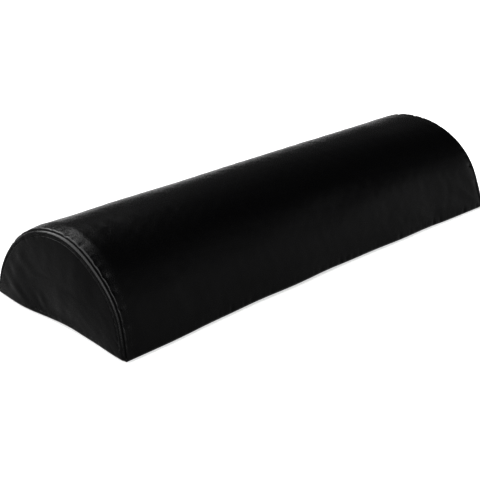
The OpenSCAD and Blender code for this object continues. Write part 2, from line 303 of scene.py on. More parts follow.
def tube(path, radius, sides=6):
    """Points and faces of a round tube along a path, closed at both ends."""
    path = np.asarray(path, float)
    ahead = np.gradient(path, axis=0)
    ahead /= np.linalg.norm(ahead, axis=1)[:, None]
    side = np.cross(ahead, [0.0, 0.3, 1.0])
    side /= np.linalg.norm(side, axis=1)[:, None]
    up = np.cross(side, ahead)
    angle = np.linspace(0, 2 * math.pi, sides, endpoint=False)
    radius = np.broadcast_to(radius, len(path))[:, None, None]
    ring = np.cos(angle)[None, :, None] * side[:, None] + np.sin(angle)[None, :, None] * up[:, None]
    points = (path[:, None] + radius * ring).reshape(-1, 3)
    faces = []
    rows = len(path)
    for i in range(rows - 1):
        k = i + 1
        for j in range(sides):
            m = (j + 1) % sides
            faces.append((i * sides + j, i * sides + m, k * sides + m, k * sides + j))
    faces.append(tuple(range(sides))[::-1])
    faces.append(tuple((rows - 1) * sides + j for j in range(sides)))
    return points, faces


def joined(name, parts, material):
    """One object from several (points, faces) lists."""
    points, faces, start = [], [], 0
    for some_points, some_faces in parts:
        points.append(some_points)
        faces += [tuple(i + start for i in f) for f in some_faces]
        start += len(some_points)
    return new_object(name, np.concatenate(points), faces, material)


def block(outline, half_length, edge, slices=48):
    """Points and faces of a closed cross-section run along X, its ends drawn in to round them off."""
    middle = outline.mean(0)
    steps = np.linspace(0, math.pi / 2, 6)
    x = np.concatenate([
        -half_length + edge * (1 - np.sin(steps)),
        np.linspace(-half_length + edge, half_length - edge, slices)[1:-1],
        (half_length - edge * (1 - np.sin(steps)))[::-1],
    ])
    x = np.sort(x)
    from_end = np.clip((half_length - np.abs(x)) / edge, 0, 1)
    draw_in = edge * (1 - np.sqrt(np.clip(1 - (1 - from_end) ** 2, 0, 1)))
    size = np.linalg.norm(outline - middle, axis=1)
    rings = []
    for position, amount in zip(x, draw_in):
        scale = (size - amount * 0.98) / size
        ring = middle + (outline - middle) * scale[:, None]
        rings.append(np.column_stack([np.full(len(ring), position), ring]))
    grid = settle(np.stack(rings))
    rows, columns = grid.shape[:2]
    faces = [tuple(f) for f in quads(rows, columns, wrap=True)]
    faces.append(tuple(range(columns)))
    faces.append(tuple((rows - 1) * columns + j for j in range(columns))[::-1])
    return grid.reshape(-1, 3), faces


def place(obj, nodes, body="root"):
    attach(obj, body)
    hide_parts(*nodes)


# ---------------- materials
def blank_material(name):
    mat = bpy.data.materials.new(name)
    mat.use_nodes = True
    tree = mat.node_tree
    return mat, tree, tree.nodes["Principled BSDF"]


def add(tree, kind, **values):
    node = tree.nodes.new(kind)
    for key, value in values.items():
        if key in node.inputs:
            node.inputs[key].default_value = value
        else:
            setattr(node, key, value)
    return node


def ramp(tree, source, stops, into=None):
    """Colour ramp of a value; with into, it also feeds that socket."""
    node = tree.nodes.new("ShaderNodeValToRGB")
    while len(node.color_ramp.elements) < len(stops):
        node.color_ramp.elements.new(0.5)
    for element, (position, value) in zip(node.color_ramp.elements, stops):
        element.position = position
        element.color = (*value, 1) if isinstance(value, tuple) else (value, value, value, 1)
    tree.links.new(source, node.inputs["Fac"])
    if into is not None:
        tree.links.new(node.outputs["Color"], into)
    return node.outputs["Color"]


def math_node(tree, operation, first, second):
    node = add(tree, "ShaderNodeMath", operation=operation)
    for socket, value in zip(node.inputs, (first, second)):
        if isinstance(value, (int, float)):
            socket.default_value = value
        else:
            tree.links.new(value, socket)
    return node.outputs["Value"]


def texture(tree, kind, coordinates, scale, **values):
    node = add(tree, kind, **values)
    node.inputs["Scale"].default_value = scale
    tree.links.new(coordinates, node.inputs["Vector"])
    return node


def bump(tree, shader, height, distance, strength):
    node = add(tree, "ShaderNodeBump", Strength=strength, Distance=distance)
    tree.links.new(height, node.inputs["Height"])
    tree.links.new(node.outputs["Normal"], shader.inputs["Normal"])


def object_coordinates(tree, stretch=None):
    out = add(tree, "ShaderNodeTexCoord").outputs["Object"]
    if stretch is None:
        return out
    node = add(tree, "ShaderNodeMapping", Scale=stretch)
    tree.links.new(out, node.inputs["Vector"])
    return node.outputs["Vector"]


# fitted to the photo under this scene's lights and gamma, so far blacker than real black vinyl
VINYL_DARK = (0.0004, 0.0004, 0.0005)
VINYL_LIGHT = (0.0009, 0.0009, 0.0010)


def vinyl_material():
    """Black PU leather: pebbled grain of about a millimetre, with finer creases and uneven gloss."""
    mat, tree, shader = blank_material("black_vinyl")
    where = object_coordinates(tree)
    bend = texture(tree, "ShaderNodeTexNoise", where, 260, Detail=2.0)
    mixed = add(tree, "ShaderNodeMix", data_type="VECTOR", Factor=0.0012)
    tree.links.new(where, mixed.inputs[4])
    tree.links.new(bend.outputs["Color"], mixed.inputs[5])
    warped = mixed.outputs[1]
    pebbles = texture(tree, "ShaderNodeTexVoronoi", warped, 820, feature="SMOOTH_F1", Smoothness=0.35)
    creases = texture(tree, "ShaderNodeTexVoronoi", warped, 430, feature="DISTANCE_TO_EDGE")
    pores = texture(tree, "ShaderNodeTexNoise", where, 3200, Detail=2.0)
    crease_line = ramp(tree, creases.outputs["Distance"], [(0.0, 0.0), (0.12, 1.0)])
    dome = ramp(tree, pebbles.outputs["Distance"], [(0.0, 1.0), (0.75, 0.0)])
    height = math_node(tree, "MULTIPLY", dome, 0.7)
    height = math_node(tree, "ADD", height, math_node(tree, "MULTIPLY", crease_line, 0.45))
    height = math_node(tree, "ADD", height, math_node(tree, "MULTIPLY", pores.outputs["Fac"], 0.18))
    bump(tree, shader, height, 0.08 * MM, 0.9)
    patches = texture(tree, "ShaderNodeTexNoise", where, 38, Detail=4.0)
    ramp(tree, patches.outputs["Fac"], [(0.3, VINYL_DARK), (0.7, VINYL_LIGHT)],
         into=shader.inputs["Base Color"])
    gloss = ramp(tree, math_node(tree, "ADD", math_node(tree, "MULTIPLY", patches.outputs["Fac"], 0.5),
                                 math_node(tree, "MULTIPLY", crease_line, 0.35)),
                 [(0.2, 0.34), (0.75, 0.22)])
    tree.links.new(gloss, shader.inputs["Roughness"])
    shader.inputs["Specular IOR Level"].default_value = 0.14
    return mat


def thread_material():
    """Twisted polyester thread, with painted shade darker in the grooves of its twist."""
    mat, tree, shader = blank_material("thread")
    where = object_coordinates(tree, (1, 1.6, 1.3))
    twist = texture(tree, "ShaderNodeTexWave", where, 900, bands_direction="DIAGONAL", Distortion=1.5)
    bump(tree, shader, twist.outputs["Fac"], 0.08 * MM, 0.8)
    # painted shade: the colour follows the twist's bump, darker in its grooves
    ramp(tree, twist.outputs["Fac"], [(0.1, 0.006), (0.9, 0.022)], into=shader.inputs["Base Color"])
    shader.inputs["Roughness"].default_value = 0.6
    shader.inputs["Sheen Weight"].default_value = 0.2
    return mat


def tape_material():
    """Woven zip tape: a fine plain weave, with painted shade darker in the gaps between its threads."""
    mat, tree, shader = blank_material("zip_tape_weave")
    where = object_coordinates(tree)
    warp = texture(tree, "ShaderNodeTexWave", where, 420, bands_direction="X")
    weft = texture(tree, "ShaderNodeTexWave", where, 420, bands_direction="Y")
    fuzz = texture(tree, "ShaderNodeTexNoise", where, 1500, Detail=3.0)
    weave = math_node(tree, "MULTIPLY", warp.outputs["Fac"], weft.outputs["Fac"])
    height = math_node(tree, "ADD", weave, math_node(tree, "MULTIPLY", fuzz.outputs["Fac"], 0.4))
    bump(tree, shader, height, 0.12 * MM, 0.9)
    # painted shade: the colour follows the weave's height, darker between threads, plus random fuzz tone
    ramp(tree, height, [(0.1, 0.006), (0.9, 0.024)], into=shader.inputs["Base Color"])
    shader.inputs["Roughness"].default_value = 0.85
    shader.inputs["Sheen Weight"].default_value = 0.3
    return mat


def nylon_material():
    """Black nylon monofilament of the zip's coils."""
    mat, tree, shader = blank_material("nylon_coil")
    where = object_coordinates(tree)
    streak = texture(tree, "ShaderNodeTexNoise", where, 900, Detail=3.0)
    ramp(tree, streak.outputs["Fac"], [(0.3, 0.008), (0.7, 0.02)], into=shader.inputs["Base Color"])
    ramp(tree, streak.outputs["Fac"], [(0.3, 0.26), (0.7, 0.4)], into=shader.inputs["Roughness"])
    bump(tree, shader, streak.outputs["Fac"], 0.02 * MM, 0.4)
    return mat


def metal_material(name, dark, light, rough, metallic):
    """Small metal fittings with fine scratches and duller patches."""
    mat, tree, shader = blank_material(name)
    where = object_coordinates(tree, (1, 6, 6))
    scratch = texture(tree, "ShaderNodeTexNoise", where, 500, Detail=6.0)
    patch = texture(tree, "ShaderNodeTexNoise", object_coordinates(tree), 180, Detail=3.0)
    ramp(tree, patch.outputs["Fac"], [(0.3, dark), (0.72, light)], into=shader.inputs["Base Color"])
    ramp(tree, scratch.outputs["Fac"], [(0.3, rough), (0.7, rough + 0.18)],
         into=shader.inputs["Roughness"])
    bump(tree, shader, scratch.outputs["Fac"], 0.02 * MM, 0.5)
    shader.inputs["Metallic"].default_value = metallic
    return mat


def foam_material(name, dark, light, cell):
    """Open-cell foam: cut cells as pits, with uneven colour, and painted shade that darkens the pits."""
    mat, tree, shader = blank_material(name)
    where = object_coordinates(tree)
    cells = texture(tree, "ShaderNodeTexVoronoi", where, 1 / cell)
    broad = texture(tree, "ShaderNodeTexNoise", where, 25, Detail=5.0)
    pits = ramp(tree, cells.outputs["Distance"], [(0.1, 0.0), (0.6, 1.0)])
    bump(tree, shader, pits, 0.5 * cell, 0.9)
    # colour: painted shade darker in the pits, mixed with random uneven tone
    pit_shade_and_tone = math_node(tree, "ADD", math_node(tree, "MULTIPLY", pits, 0.5),
                    math_node(tree, "MULTIPLY", broad.outputs["Fac"], 0.5))
    tree.links.new(ramp(tree, pit_shade_and_tone, [(0.15, dark), (0.8, light)]), shader.inputs["Base Color"])
    shader.inputs["Roughness"].default_value = 0.95
    return mat


def liner_material():
    """White non-woven liner: matted fibres with a faint pressed dot pattern."""
    mat, tree, shader = blank_material("nonwoven_liner")
    where = object_coordinates(tree)
    fibres = texture(tree, "ShaderNodeTexNoise", where, 900, Detail=6.0, Distortion=1.5)
    dots = texture(tree, "ShaderNodeTexVoronoi", where, 450, Randomness=0.0)
    pressed = ramp(tree, dots.outputs["Distance"], [(0.2, 0.0), (0.4, 1.0)])
    height = math_node(tree, "ADD", math_node(tree, "MULTIPLY", pressed, 0.5), fibres.outputs["Fac"])
    bump(tree, shader, height, 0.1 * MM, 0.7)
    ramp(tree, fibres.outputs["Fac"], [(0.3, (0.62, 0.62, 0.6)), (0.7, (0.82, 0.82, 0.8))],
         into=shader.inputs["Base Color"])
    shader.inputs["Roughness"].default_value = 0.9
    return mat


vinyl = vinyl_material()
thread = thread_material()
tape_cloth = tape_material()
nylon = nylon_material()
bare_metal = metal_material("bare_aluminium", (0.5, 0.5, 0.52), (0.68, 0.68, 0.7), rough=0.3, metallic=1.0)
black_metal = metal_material("black_painted_metal", (0.012, 0.012, 0.013), (0.03, 0.03, 0.032),
                             rough=0.3, metallic=0.3)
firm_foam = foam_material("firm_foam", (0.42, 0.47, 0.55), (0.62, 0.66, 0.72), 1.1 * MM)
soft_foam = foam_material("soft_foam", (0.7, 0.6, 0.32), (0.86, 0.8, 0.55), 0.7 * MM)
liner_cloth = liner_material()


# ---------------- cloth simulation of the cover
CLOTH_CELL = 5.5 * MM
CLOTH_REACH = 2.1 * CLOTH_CELL   # how far a simulated point's move is felt
CLOTH_CAP = 0.8 * MM             # most that a point may move
CLOTH_FRAMES = 20
cloth_field = {}


def cloth_moves(points):
    """How far the simulated cover moved at each point; nothing before the simulation or without it."""
    moves = np.zeros_like(points)
    if not cloth_field:
        return moves
    tree, moved = cloth_field["tree"], cloth_field["moves"]
    flat, out = points.reshape(-1, 3), moves.reshape(-1, 3)
    for i, point in enumerate(flat):
        near = tree.find_n(point, 7)
        ids = [n[1] for n in near]
        weight = np.clip(1 - (np.array([n[2] for n in near]) / CLOTH_REACH) ** 2, 0, None) ** 2
        if weight.sum() > 0:
            out[i] = weight @ moved[ids] / weight.sum()
    near_end = smooth(HALF_L - 110 * MM, HALF_L - 50 * MM, np.abs(points[..., :1]))
    return moves * (1 - 0.85 * near_end)


def simulate_cover():
    """Cloth pressed out by the foam, held along its seams and where it rests on the floor."""
    outline = half_round_loop(1.0 * MM, arc_points=60, corner_points=3, base_points=40)
    body = joined("cloth_body", [block(outline, HALF_L - 1.0 * MM, 1.5 * MM)], vinyl)
    remesh = body.modifiers.new("remesh", "REMESH")
    remesh.mode = "VOXEL"
    remesh.voxel_size = CLOTH_CELL
    graph = bpy.context.evaluated_depsgraph_get()
    mesh = bpy.data.meshes.new_from_object(body.evaluated_get(graph))
    body.modifiers.clear()
    body.data = mesh
    rest = np.array([v.co for v in mesh.vertices])
    radius = np.hypot(rest[:, 1], rest[:, 2] - CENTRE_Z)
    on_end = np.abs(rest[:, 0]) > HALF_L - 8 * MM
    on_wall = radius > WALL_R - 8 * MM
    on_base = rest[:, 2] < 8 * MM
    seam = on_end & on_wall | on_wall & on_base | on_end & on_base
    held = body.vertex_groups.new(name="held")
    held.add([int(i) for i in np.flatnonzero(seam | on_base)], 1.0, "REPLACE")
    cloth = body.modifiers.new("cloth", "CLOTH")
    settings = cloth.settings
    settings.quality = 6
    settings.mass = 0.4
    settings.vertex_group_mass = "held"
    settings.pin_stiffness = 1.0
    settings.tension_stiffness = 18
    settings.compression_stiffness = 12
    settings.shear_stiffness = 6
    settings.bending_stiffness = 0.6
    settings.shrink_min = -0.006
    settings.use_pressure = True
    settings.uniform_pressure_force = 4
    settings.effector_weights.gravity = 0
    cloth.collision_settings.use_collision = False
    scene = bpy.context.scene
    for number in range(1, CLOTH_FRAMES + 1):
        scene.frame_set(number)
    graph = bpy.context.evaluated_depsgraph_get()
    moved = np.array([v.co for v in body.evaluated_get(graph).data.vertices])
    scene.frame_set(1)
    bpy.data.objects.remove(body)
    moves = moved - rest
    size = np.linalg.norm(moves, axis=1, keepdims=True)
    moves *= np.tanh(size / CLOTH_CAP) * CLOTH_CAP / np.maximum(size, 1e-9)
    tree = kdtree.KDTree(len(rest))
    for i, point in enumerate(rest):
        tree.insert(point, i)
    tree.balance()
    cloth_field.update(tree=tree, moves=moves)


# ---------------- curved wall
ARC_TOTAL = 2 * EDGE_ANGLE * WALL_R

pucker_noise = along_noise(20, 6 * MM, 26 * MM)
skin = waves(30, 26, 9 * MM, 30 * MM)
drag = waves(31, 22, 26 * MM, 60 * MM, stretch=(5, 1, 1))


def pucker(distance, s, strength):
    """Depth of the small gathers that run away from a seam: distance from it, s along it."""
    gather = np.clip(pucker_noise(s), 0, None) ** 1.5
    reach = np.exp(-((distance - 5.5 * MM) / (5.5 * MM)) ** 2) * smooth(1.5 * MM, 5 * MM, distance)
    scallop = 0.5 - 0.5 * np.cos(2 * math.pi * s / STITCH)
    close = np.exp(-((distance - 2.6 * MM) / (1.3 * MM)) ** 2)
    return strength * (0.42 * MM * gather * reach + 0.1 * MM * scallop * close)


def corner_folds(u, v, headings, height):
    """Soft ridges that fan out from a corner of a sheet; u and v are distances along its two edges."""
    r, angle = np.hypot(u, v), np.degrees(np.arctan2(v, u))
    total = np.zeros_like(r)
    for heading, width, size, reach in headings:
        ridge = np.exp(-((angle - heading) / width) ** 2)
        total += size * ridge * smooth(8 * MM, 30 * MM, r) * np.exp(-(r / reach) ** 2)
    return height * total


# ridges from each corner of the wall: heading in degrees, half width in degrees, size, reach
WALL_FOLDS = [
    (13, 4, 1.0, 130 * MM),
    (27, 5, -0.7, 110 * MM),
    (41, 4, 0.6, 80 * MM),
    (66, 6, 0.8, 70 * MM),
]


def wall_grid():
    x_from_left, depth_x = two_ended(2 * HALF_L, 2.4 * MM)
    s_from_front, depth_s = two_ended(ARC_TOTAL, 2.2 * MM)
    x, s = np.meshgrid(x_from_left - HALF_L, s_from_front, indexing="ij")
    depth = both(depth_x[:, None], depth_s[None, :])
    to_end = HALF_L - np.abs(x)
    to_base = np.minimum(s, ARC_TOTAL - s)
    # a groove behind the rolled edge, and low down a tuck whose crease leaves the seam and comes back
    front_left = np.where((x < 0) == (s < ARC_TOTAL / 2), 1.0, 0.35)
    groove = smooth(40 * MM, 60 * MM, to_base) * (1 - smooth(85 * MM, 120 * MM, to_base))
    depth += 0.8 * MM * groove * one_sided(to_end, 6.8 * MM, 1.5 * MM, 8 * MM)
    tuck = smooth(3 * MM, 12 * MM, to_base) * (1 - smooth(38 * MM, 50 * MM, to_base)) * front_left
    crease_at = 5.2 * MM + 3.6 * MM * bell(to_base, 27 * MM, 14 * MM)
    depth += 1.7 * MM * tuck * one_sided(to_end, crease_at, 1.1 * MM, 6 * MM)
    # each seam reads its own stretch of the gathers' noise
    right_shift = np.where(x < 0, 0.0, 102 * MM)
    depth += pucker(to_end, s + right_shift, 1.1) * smooth(4 * MM, 15 * MM, to_base)
    depth += pucker(to_base, x + 3.0, 0.8) * smooth(4 * MM, 15 * MM, to_end)
    # folds that fan out from the four corners, long drags low on the wall, and a faint unevenness
    inner = smooth(6 * MM, 24 * MM, np.minimum(to_end, to_base))
    depth -= corner_folds(to_end, to_base, WALL_FOLDS, 0.6 * MM) * inner
    lower = 1 - smooth(60 * MM, 130 * MM, to_base)
    angle = s / WALL_R - EDGE_ANGLE
    where = np.stack([x, WALL_R * angle, np.zeros_like(x)], -1)
    depth -= inner * (0.30 * MM * (0.3 + 0.7 * lower) * drag(where) + 0.055 * MM * skin(where))
    radius = WALL_R - depth
    return np.stack([x, radius * np.sin(angle), CENTRE_Z + radius * np.cos(angle)], -1)


# ---------------- half-round ends
CORNER_R = 2.7 * MM              # rounding of the ends' two bottom corners
END_CROWN = 3.0 * MM             # how far the middle of an end stands proud
END_DEEPEST = 47 * MM            # the grid's rings go in this far, then close on a point
end_drag = waves(33, 20, 24 * MM, 60 * MM, stretch=(1, 2, 1))
# drag lines on an end, in millimetres: from (y, z), to (y, z), half width, height
END_DRAGS = [
    ((108, 46), (56, 8), 5.0, 1.0),
    ((98, 66), (70, 38), 4.5, 0.6),
    ((74, 70), (40, 48), 5.5, 0.7),
    ((30, 30), (12, 2), 4.5, 1.1),
    ((66, 28), (40, 6), 4.0, -0.7),
    ((-34, 34), (-16, 4), 5.0, 0.5),
    ((-100, 26), (-74, 8), 5.0, 0.4),
]


def drag_lines(y, z):
    """Soft ridges along the drag lines, tapered at both ends."""
    total = np.zeros_like(y)
    for start, end, width, height in END_DRAGS:
        start, end = np.array(start) * MM, np.array(end) * MM
        ahead = end - start
        length = np.linalg.norm(ahead)
        ahead /= length
        along = (y - start[0]) * ahead[0] + (z - start[1]) * ahead[1]
        across = -(y - start[0]) * ahead[1] + (z - start[1]) * ahead[0]
        taper = smooth(-0.25 * length, 0.3 * length, along)
        taper *= 1 - smooth(0.75 * length, 1.2 * length, along)
        ridge = bell(across, 0, width * MM) - 0.55 * bell(across, 1.7 * width * MM, width * MM)
        total += height * MM * ridge * taper
    return total


def half_round_loop(inset, arc_points=150, corner_points=7, base_points=90):
    """(y, z) points round the end outline, drawn in by inset: over the crown, then back along the base."""
    r = WALL_R - inset
    corner_z = inset + CORNER_R
    corner_y = math.sqrt((r - CORNER_R) ** 2 - (corner_z - CENTRE_Z) ** 2)
    start = math.atan2(corner_y, corner_z - CENTRE_Z)
    angle = np.linspace(-start, start, arc_points)
    over = np.stack([r * np.sin(angle), CENTRE_Z + r * np.cos(angle)], -1)
    turn = np.linspace(start, math.pi, corner_points + 2)[1:-1]
    foot = np.stack([corner_y + CORNER_R * np.sin(turn), corner_z + CORNER_R * np.cos(turn)], -1)
    base = np.stack([np.linspace(corner_y, -corner_y, base_points), np.full(base_points, inset)], -1)
    return np.concatenate([over, foot, base, (foot * [-1, 1])[::-1]])


def lengths_along(path):
    return np.concatenate([[0], np.cumsum(np.linalg.norm(np.diff(path, axis=0), axis=1))])


def end_grid(side):
    """Rings round one half-round end, from the tail inside its seam to near its middle."""
    q = np.concatenate([seam_lengths(), np.arange(0, 60, 1.8) * MM])
    q = np.unique(np.round(q, 6))
    along, depth = roll(q)
    keep = along < END_DEEPEST
    along, depth = along[keep], depth[keep]
    loops = np.stack([half_round_loop(a) for a in along])
    s = lengths_along(half_round_loop(CONTACT))[None, :]
    y, z = loops[..., 0], loops[..., 1]
    distance = along[:, None] + 0 * y
    inside = (1 - (y ** 2 + (z - CENTRE_Z) ** 2) / WALL_R ** 2) * z / HEIGHT
    crown = END_CROWN * smooth(0.02, 0.42, inside)
    crown = crown - 0.35 * MM * bell(distance, 6.6 * MM, 1.5 * MM) * smooth(8 * MM, 30 * MM, z)
    inner = smooth(5 * MM, 22 * MM, distance)
    folds = 0.5 * drag_lines(y if side < 0 else -y, z)
    where = np.stack([y, z, np.full_like(y, 0.2 * side)], -1)
    rise = crown + inner * (folds + 0.16 * MM * end_drag(where) + 0.05 * MM * skin(where))
    rise = rise - pucker(distance, s + 0.9, 0.3)
    x = HALF_L - depth[:, None] + rise
    return np.stack([side * x, y, z], -1)


# ---------------- flat base with its zip hems
TAB_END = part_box("zip_end_tab_right")[1].x
HEM_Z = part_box("zip_tape_rear")[0].z - 2.2 * VINYL_T    # height of the hems over the floor
SLOT_HALF = 5 * MM               # half width of the slot between the hems
# the trough's side runs between these distances from the zip
TROUGH_OUT, TROUGH_IN = 21 * MM, 12 * MM
HEM_FOLD_R = 1.0 * MM
HEM_BACK = 7 * MM                # how far the hem's turned layer goes back


def slot_half(x):
    """Half width of the slot between the hems; it closes past the ends of the zip."""
    shut = smooth(TAB_END - 12 * MM, TAB_END - 2 * MM, np.abs(x))
    return SLOT_HALF * (1 - shut) + 0.12 * MM * shut


def trough(x):
    """Height of the hems over the floor; the base is flat again past the zip."""
    return HEM_Z * (1 - smooth(TAB_END - 6 * MM, TAB_END + 9 * MM, np.abs(x)))


def base_grid(side):
    """One base sheet: from the wall's seam across the floor, up the trough, then round the hem's fold
    and back over itself."""
    x_from_left, depth_x = two_ended(2 * HALF_L, 3.0 * MM)
    x = (x_from_left - HALF_L)[:, None]
    depth_x = depth_x[:, None]
    across = 0 * x               # added to a row of values, it repeats the row at every x
    rise, slot = trough(x), slot_half(x)
    out, depth_y = roll(seam_lengths())
    y_edge = HALF_W - out
    y_flat = np.arange(y_edge[-1] - 3 * MM, TROUGH_OUT, -3 * MM)
    flat_y = np.concatenate([y_edge, y_flat])[None, :] + across
    flat_z = both(depth_x, np.concatenate([depth_y, 0 * y_flat])[None, :])
    t = np.linspace(0, 1, 12)[None, :]
    ramp_y = TROUGH_OUT + (TROUGH_IN - TROUGH_OUT) * t + across
    ramp_z = rise * smooth(0, 1, t) + across
    hem_y = TROUGH_IN + (slot + HEM_FOLD_R - TROUGH_IN) * np.linspace(0, 1, 8)[None, 1:]
    hem_z = rise + 0 * hem_y
    turn = np.linspace(0, math.pi, 9)[None, 1:]
    fold_y = slot + HEM_FOLD_R * (1 - np.sin(turn))
    fold_z = rise + HEM_FOLD_R * (1 - np.cos(turn))
    back_y = slot + HEM_FOLD_R + np.linspace(0, HEM_BACK, 6)[None, 1:]
    back_z = rise + 2 * HEM_FOLD_R + 0 * back_y
    y = np.concatenate([flat_y, ramp_y, hem_y, fold_y, back_y], 1)
    raised = np.concatenate([ramp_z, hem_z, fold_z, back_z], 1)
    z = np.concatenate([flat_z, both(depth_x, 0) + raised], 1)
    slack = 0.25 * MM * smooth(24 * MM, 50 * MM, y) * smooth(5 * MM, 25 * MM, HALF_W - y)
    slack *= 1 + skin(np.stack([x + 0 * y, y, 0 * y], -1))
    z += slack * smooth(0, 20 * MM, HALF_L - np.abs(x))
    return np.stack([x + 0 * y, side * y, z], -1)


def build_cover():
    """The five sewn sheets."""
    wall = shell("cover_wall", settle(wall_grid()), VINYL_T, vinyl)
    place(wall, ["wall_panel"])
    for side, name in ((-1, "left"), (1, "right")):
        grid = settle(end_grid(side))
        end = shell(f"cover_end_{name}", grid, VINYL_T, vinyl, wrap=True, flip=side > 0)
        place(end, [f"end_panel_{name}"])
    for side, name in ((-1, "front"), (1, "rear")):
        base = shell(f"cover_base_{name}", settle(base_grid(side)), VINYL_T, vinyl, flip=side < 0)
        place(base, [f"base_panel_{name}"])


simulate_cover()
build_cover()


# ---------------- stitching
def stitches(path, pitch, radius, fill=0.8):
    """Short rounded stitches one after another along a path."""
    s = lengths_along(path)
    count = int(s[-1] / pitch)
    parts = []
    taper = radius * np.array([0.25, 0.8, 1.0, 1.0, 0.8, 0.25])
    for i in range(count):
        at = (i + 0.5) * pitch + np.linspace(-0.5, 0.5, 6) * pitch * fill
        line = np.stack([np.interp(at, s, path[:, k]) for k in range(3)], -1)
        parts.append(tube(line, taper))
    return parts


def valley_loop(side):
    """Line of the stitches in an end seam's valley, all round the end."""
    loop = half_round_loop(VALLEY_OUT)
    loop = np.concatenate([loop, loop[:1]])
    x = np.full(len(loop), side * (HALF_L - VALLEY_OUT))
    return settle(np.column_stack([x, loop]))


def base_valley(side):
    """Line of the stitches in the seam between the wall and the base."""
    x = np.linspace(-HALF_L + 5 * MM, HALF_L - 5 * MM, 400)
    y = np.full_like(x, side * (HALF_W - VALLEY_OUT))
    return settle(np.column_stack([x, y, np.full_like(x, VALLEY_OUT)]))


def build_stitching():
    for side, name in ((-1, "left"), (1, "right")):
        parts = stitches(valley_loop(side), STITCH, THREAD_R)
        place(joined(f"end_seam_stitches_{name}", parts, thread), [f"end_seam_thread_{name}"])
    for side, name in ((-1, "front"), (1, "rear")):
        parts = stitches(base_valley(side), STITCH, THREAD_R)
        seam = joined(f"base_seam_stitches_{name}", parts, thread)
        place(seam, [f"base_seam_thread_{name}"])
        lo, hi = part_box(f"zip_topstitch_{name}")
        y, z = (lo[1] + hi[1]) / 2, lo[2] - 0.02 * MM
        line = np.array([[lo[0], y, z], [hi[0], y, z]])
        parts = stitches(line, STITCH, THREAD_R, fill=0.78)
        place(joined(f"hem_topstitches_{name}", parts, thread), [f"zip_topstitch_{name}"])
    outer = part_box("base_join_thread")[1].x
    parts = []
    for side in (-1, 1):
        line = np.array([[side * (TAB_END + 6 * MM), 0, 0.9 * MM], [side * outer, 0, 0.9 * MM]])
        parts += stitches(line, STITCH, THREAD_R)
    place(joined("base_join_stitches", parts, thread), ["base_join_thread"])


build_stitching()


# ---------------- zip
COIL_PITCH = 1.4 * MM
COIL_WIRE_R = 0.31 * MM


def coil_row(side):
    """A flattened helix of monofilament along one tape; its heads reach in between the other row's."""
    name = "rear" if side > 0 else "front"
    lo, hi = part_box(f"zip_coil_{name}")
    turns = int((hi[0] - lo[0]) / COIL_PITCH) - 1
    steps = 12
    t = np.arange(turns * steps + 1) / steps
    angle = 2 * math.pi * t
    x = lo[0] + COIL_PITCH * (0.6 + t + (0.5 if side > 0 else 0.0))
    mid_y = (abs(lo[1]) + abs(hi[1])) / 2 - 0.12 * MM
    half_y = (hi[1] - lo[1]) / 2 - COIL_WIRE_R + 0.1 * MM
    half_z = (hi[2] - lo[2]) / 2 - COIL_WIRE_R
    squared = np.sign(np.cos(angle)) * np.abs(np.cos(angle)) ** 0.75
    y = side * (mid_y + half_y * squared)
    z = (lo[2] + hi[2]) / 2 + half_z * np.sin(angle)
    return tube(np.column_stack([x, y, z]), COIL_WIRE_R)


def object_from(name, mesh, material):
    """A smooth-shaded object from a bmesh."""
    data = bpy.data.meshes.new(name)
    mesh.to_mesh(data)
    mesh.free()
    return link_object(name, data, material)


def soft_box(name, lo, hi, material, edge):
    """A block with rounded edges."""
    mesh = bmesh.new()
    bmesh.ops.create_cube(mesh, size=1)
    size, middle = hi - lo, (hi + lo) / 2
    for v in mesh.verts:
        v.co = Vector(middle) + Vector((v.co.x * size[0], v.co.y * size[1], v.co.z * size[2]))
    bmesh.ops.bevel(mesh, geom=mesh.edges[:], offset=edge, segments=2, profile=0.6, affect="EDGES")
    return object_from(name, mesh, material)


def rounded_copy(name, node, material, edge):
    """A CAD fitting with its sharp edges rounded off."""
    mesh = bmesh.new()
    mesh.from_mesh(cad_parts[node].data)
    bmesh.ops.remove_doubles(mesh, verts=mesh.verts, dist=1e-6)
    bmesh.ops.dissolve_limit(mesh, angle_limit=math.radians(1), verts=mesh.verts, edges=mesh.edges)
    least = math.radians(35)
    sharp = [e for e in mesh.edges if len(e.link_faces) == 2 and e.calc_face_angle(0) > least]
    bmesh.ops.bevel(mesh, geom=sharp, offset=edge, segments=3, profile=0.5, affect="EDGES",
                    clamp_overlap=True)
    return object_from(name, mesh, material)


def tape_grid(name):
    """One zip tape, slightly rippled along its outer edge."""
    lo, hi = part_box(name)
    rows, columns = 190, 9
    x, t = np.meshgrid(np.linspace(lo[0], hi[0], rows), np.linspace(0, 1, columns), indexing="ij")
    inner_first = lo[1] > 0
    y = lo[1] + (hi[1] - lo[1]) * t
    from_inside = t if inner_first else 1 - t
    z = lo[2] + 0.12 * MM * from_inside ** 2 * (1 + np.sin(x / (7 * MM)) * 0.6)
    return np.stack([x, y, z], -1), hi[2] - lo[2]


def build_zip():
    for side, name in ((-1, "front"), (1, "rear")):
        coil = joined(f"zip_coil_row_{name}", [coil_row(side)], nylon)
        place(coil, [f"zip_coil_{name}"])
        grid, thick = tape_grid(f"zip_tape_{name}")
        obj = shell(f"zip_tape_cloth_{name}", grid, -thick, tape_cloth)
        place(obj, [f"zip_tape_{name}"])
    for name in ("left", "right"):
        lo, hi = (np.array(c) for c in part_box(f"zip_end_tab_{name}"))
        obj = soft_box(f"zip_tab_{name}", lo, hi, vinyl, 0.35 * MM)
        place(obj, [f"zip_end_tab_{name}"])
    for node in ("zip_top_stops", "zip_bottom_stop"):
        place(rounded_copy(f"{node}_metal", node, bare_metal, 0.25 * MM), [node])
    slider = rounded_copy("zip_slider_body", "zip_slider", black_metal, 0.16 * MM)
    place(slider, ["zip_slider"], "slider")
    pull = rounded_copy("zip_pull_tab", "zip_pull", black_metal, 0.2 * MM)
    place(pull, ["zip_pull"], "pull")


build_zip()


